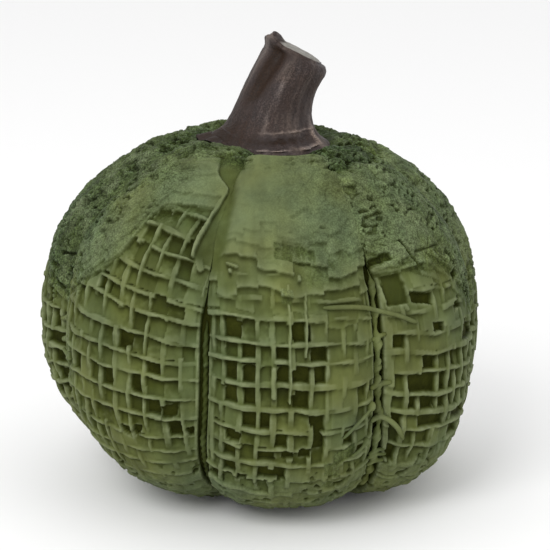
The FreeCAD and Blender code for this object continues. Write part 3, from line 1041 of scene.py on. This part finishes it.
def seam_style(**changes):
    """How one furrow differs from a plain one.

    start, rise, radius, sway, swell: angle where the strand begins, its height, size, drift and unevenness.
    rungs, knots: how many. gap: half the furrow's width, and t where it opens. rim: height of its edges.
    fill: depth of the slip in it, and t where that ends. channel: (t, width on the left, on the right).
    free: loose strands as (route, radius). lumps: more knots as (angle, azimuth, radius).
    """
    style = dict(start=50, rise=1.5, radius=0.7, sway=0.5, swell=0.15, rungs=5, knots=2, gap=(1.1, 34), rim=1,
                 fill=(1.0, 44), channel=(), free=(), lumps=())
    return SimpleNamespace(**{**style, **changes})


STYLES = (      # one for each lobe, from the left front lobe round to the right
    lobe_style(open=0.1, plates=0.46, width=0.62, cover=(60, 60, 58, 55, 51, 47, 33, 32, 31, 31, 31),
        ragged=0.9, steps=2, grain=(1.0, 0.05), ring=(0.9, 0.9, 0.7, 1.0), hem=5, slope=(0.22, 0.08),
        sag=0.001,
        areas=(((-10, -2.5, 68, 81), 0.6), ((3, 9, 66, 74), 0.5)),
        bars=((((14.9, 25.5), (17.8, 45)), 0.6, 2.25), (((18.4, 43), (20.7, 48)), 0.85, 1.9)),
        blocks=(hole(-18.2, -15.4, 76, 79.3), hole(15.8, 19.4, 84.8, 87.8, -0.1),
            hole(21.0, 22.8, 90.2, 93.2), hole(4.2, 6.8, 88.6, 91, 0.2),
            hole(8, 9.6, 89.4, 92))),
    lobe_style(open=0.3, width=0.7, cover=(43, 44, 46, 47, 45), ragged=2.4, steps=14, pleats=1.0,
        bend=0.35, lip=0.4, foot=9.5, phase=1.0,
        grain=(0.0, 0.5), ring=(1.0, 0.0, 0.0, 0.0, 0.5, 1.0), slope=(0.08, 0.06),
        areas=(((6.5, 22, 56, 82), 0.6), ((-18, 6, 62, 74), -0.2)),
        bars=((((-1.7, 50), (-1.9, 77.3)), 0.36, 2.1), (((2.3, 52), (1.9, 66.6)), 0.36, 2.05),
            (((-5.6, 69.3), (-5.7, 76)), 0.6, 2.05), (((-15.4, 44.3), (-13.3, 45)), 0.55, 2.3)),
        blocks=(((-4.2, 5.2, 40.5, 44.6), 0.28, -0.4, 1), ((-3.6, -0.8, 51.5, 55), 0.2, 0.2, 1),
            hole(-17.0, -13.7, 87.2, 90.1, 0.1), hole(-3.2, -0.8, 90.6, 92.8),
            hole(0.9, 3.5, 90.4, 93), hole(-13.6, -11.6, 99.6, 101.6),
            ((7, 11, 92.5, 97), 0.4, 0.6, 1), ((9.5, 15, 95.5, 99.5), -0.3, 0.4, 1),
            ((6.5, 10, 100, 103), 0.3, 0.6, 1)),
        # These spots come out pale from the crest paint: painted highlights where glints are.
        spots=((-14.9, 46.2, 0.4, 0.5, 2.2), (1.0, 48.5, 0.35, 0.6, 2.1), (-1.9, 76, 0.25, 0.6, 2.0),
            (6.5, 86, 0.7, 0.35, 2.0))),
    lobe_style(open=0.4, plates=0.38, cover=(42, 45, 50, 60, 68), grain=(0.7, 0.9), ring=(1.0, 1.0),
        slope=(0.02, 0.1),
        areas=(((-18, 6, 44, 68), 0.5), ((-14, 8, 70, 88), -0.5), ((6, 24, 56, 92), -0.7)),
        bars=((((-20.6, 53), (-20.3, 85)), 0.95, 1.6), (((-21.5, 46), (-10.5, 44.3)), 0.6, 2.1),
            (((-19.6, 48.2), (-19.4, 58)), 0.5, 1.7), (((-17.2, 49.5), (-15.2, 57)), 0.6, 1.7)),
        blocks=(((-20.2, -14.4, 41.0, 42.8), -0.1, -1.1, 0), ((-19, -14.2, 49.5, 57.0), 0.1, -0.35, 0),
            ((-13.4, -7.6, 57.0, 59.6), 0.3, -1.5, 0), ((-8.4, -4.8, 62.6, 64.6), 0.1, -1.5, 0),
            ((0.5, 3.6, 58.8, 61.0), -0.3, -1.5, 0), ((2.6, 5.2, 52.6, 54.4), -0.3, -1.5, 0)),
        cuts=((((-10.4, 40.5), (-8.2, 47.9)), 0.3, 0.9), (((-7.6, 43.9), (0.5, 44.2)), 0.25, 1.2)),
        # This spot comes out pale from the crest paint: a painted highlight where a glint is.
        spots=((-20, 76, 0.6, 0.6, 2.0),)),
    lobe_style(open=0.45, cover=(68, 56, 44, 40, 38), slope=(0.05, 0.02), sag=-0.002, bend=0.8,
        areas=(((-20, 8, 70, 86), -0.4), ((-25, -12, 60, 95), -0.6))),
    lobe_style(cover=(36, 40, 34, 38, 42), slope=(-0.05, 0.0), grain=(0.6, 0.4)),
    lobe_style(cover=(44, 36, 38, 44, 50), slope=(0.04, -0.03), sag=0.002, grain=(0.4, 0.8),
        areas=(((-18, 2, 50, 74), 0.6),)),
    lobe_style(open=0.4, cover=(44, 46, 50, 60, 64), grain=(0.9, 1.0), width=0.68, slope=(0.0, 0.03),
        sag=-0.002, bend=1.0, areas=(((8, 27, 60, 95), -0.6),)),
)
SEAMS = (       # one for each furrow, in the same order
    seam_style(start=64, gap=(0.9, 52), fill=(1.2, 60)),
    seam_style(start=78, rise=0.15, radius=0.8, sway=0.1, swell=0.05, rungs=0, knots=0, gap=(1.25, 54),
        rim=0.96, fill=(1.5, 46), lumps=((90.5, 0.3, 0.9),),
        channel=((14, 6.0, 1.0), (20, 4.9, 1.4), (22.5, 3.2, 2.0), (24.5, 1.5, 2.5), (26, 1.1, 2.9),
            (28.5, 1.5, 3.6), (33.6, 2.5, 4.2), (39, 3.3, 4.0), (44, 4.5, 3.0))),
    seam_style(start=66, rise=1.4, radius=0.9, sway=0.6, swell=0.4, gap=(1.65, 42), fill=(2.2, 50),
        free=((((74.8, -18.5, 1.7), (75.0, -14, 1.9), (75.4, -8, 2.0), (76.8, -1.3, 2.6), (79.5, 5.2, 2.4),
            (81.3, 8, 2.1), (82.3, 10.5, 1.6)), 0.6),
            (((102.8, -3.7, 2.4), (104, -7, 2.5), (106, -10, 2.2), (109.4, -13.8, 1.5)), 0.42),
            (((107.3, -4.0, 2.0), (106.6, -1, 2.7), (107.0, 2, 2.8), (110, 5, 2.4), (114.5, 7, 1.5)), 0.7),
            (((112.4, -5.5, 2.2), (114, -8, 2.2), (115.5, -11, 1.6)), 0.42)),
        lumps=((102.7, -3.7, 1.4), (112.4, -5.5, 1.1))),
    seam_style(rungs=6, knots=3, gap=(1.1, 50), fill=(1.2, 56)),
    seam_style(),
    seam_style(rungs=6, knots=3),
    seam_style(gap=(1.0, 48), fill=(1.2, 56)),
)

net_paint = olive_paint()
stem_paint = stem_material()
felt = plain_paint("pad_felt", 0.95, 0.1, (0.0008, 5, 0.7), (0.012, 0.014, 0.011), (0.05, 0.055, 0.045),
                   (0.0004, 5, 0.8), (0.0004, 0.9))
wash = plain_paint("core_wash", 0.8, 0.05, (0.004, 4, 0.6), (0.012, 0.014, 0.001), (0.03, 0.034, 0.004),
                   (0.001, 3))
cement = plain_paint("bedding_cement", 0.85, 0.3, (0.001, 4), (0.2, 0.19, 0.16), (0.36, 0.34, 0.29),
                     (0.0005, 3))
for node, material in (("body_core", wash), ("stem_bedding", cement)):
    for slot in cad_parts[node].material_slots:
        slot.material = material
for number in range(LOBES):
    make_gore(number)
    make_seam(number)
make_stem()
for number in range(1, 5):
    make_pad(number)

# ---- floor, light and camera

VIEW_POINT = Vector((0.0038, 0.0008, 0.0548))   # the middle of the picture
VIEW_ELEVATION = 14.8
VIEW_DISTANCE = 0.59
VIEW_LENS = 150.5


def make_stage():
    """A plain pale floor in plain white light."""
    bpy.ops.mesh.primitive_plane_add(size=6, location=(0, 0, 0))
    floor = bpy.context.object
    floor.name = "floor"
    paper = Paint("floor_paper", 0.9, 0.2)
    paper.colour((0.86, 0.86, 0.86, 1))
    floor.data.materials.append(paper.material)
    world = bpy.data.worlds.new("studio")
    world.use_nodes = True
    world.node_tree.nodes["Background"].inputs["Color"].default_value = (1, 1, 1, 1)
    world.node_tree.nodes["Background"].inputs["Strength"].default_value = 1.0
    bpy.context.scene.world = world


def make_light(name, place, size, power):
    """A square lamp that shines on the figure."""
    light = bpy.data.lights.new(name, "AREA")
    light.size = size
    light.energy = power
    lamp = bpy.data.objects.new(name, light)
    lamp.location = place
    lamp.rotation_euler = (VIEW_POINT - Vector(place)).to_track_quat("-Z", "Y").to_euler()
    bpy.context.scene.collection.objects.link(lamp)


def make_camera():
    """A level camera in front of the figure, looking down a little."""
    camera = bpy.data.cameras.new("camera")
    camera.lens = VIEW_LENS
    camera.sensor_width = 36
    holder = bpy.data.objects.new("camera", camera)
    rise = math.radians(VIEW_ELEVATION)
    holder.location = VIEW_POINT + VIEW_DISTANCE * Vector((0, -math.cos(rise), math.sin(rise)))
    holder.rotation_euler = (math.radians(90 - VIEW_ELEVATION), 0, 0)
    bpy.context.scene.collection.objects.link(holder)
    bpy.context.scene.camera = holder


make_stage()
make_light("key", (-0.38, -0.76, 0.73), 0.5, 6)
make_light("fill", (0.7, -0.6, 0.5), 0.6, 1)
make_camera()
bpy.context.scene.view_settings.view_transform = "Standard"
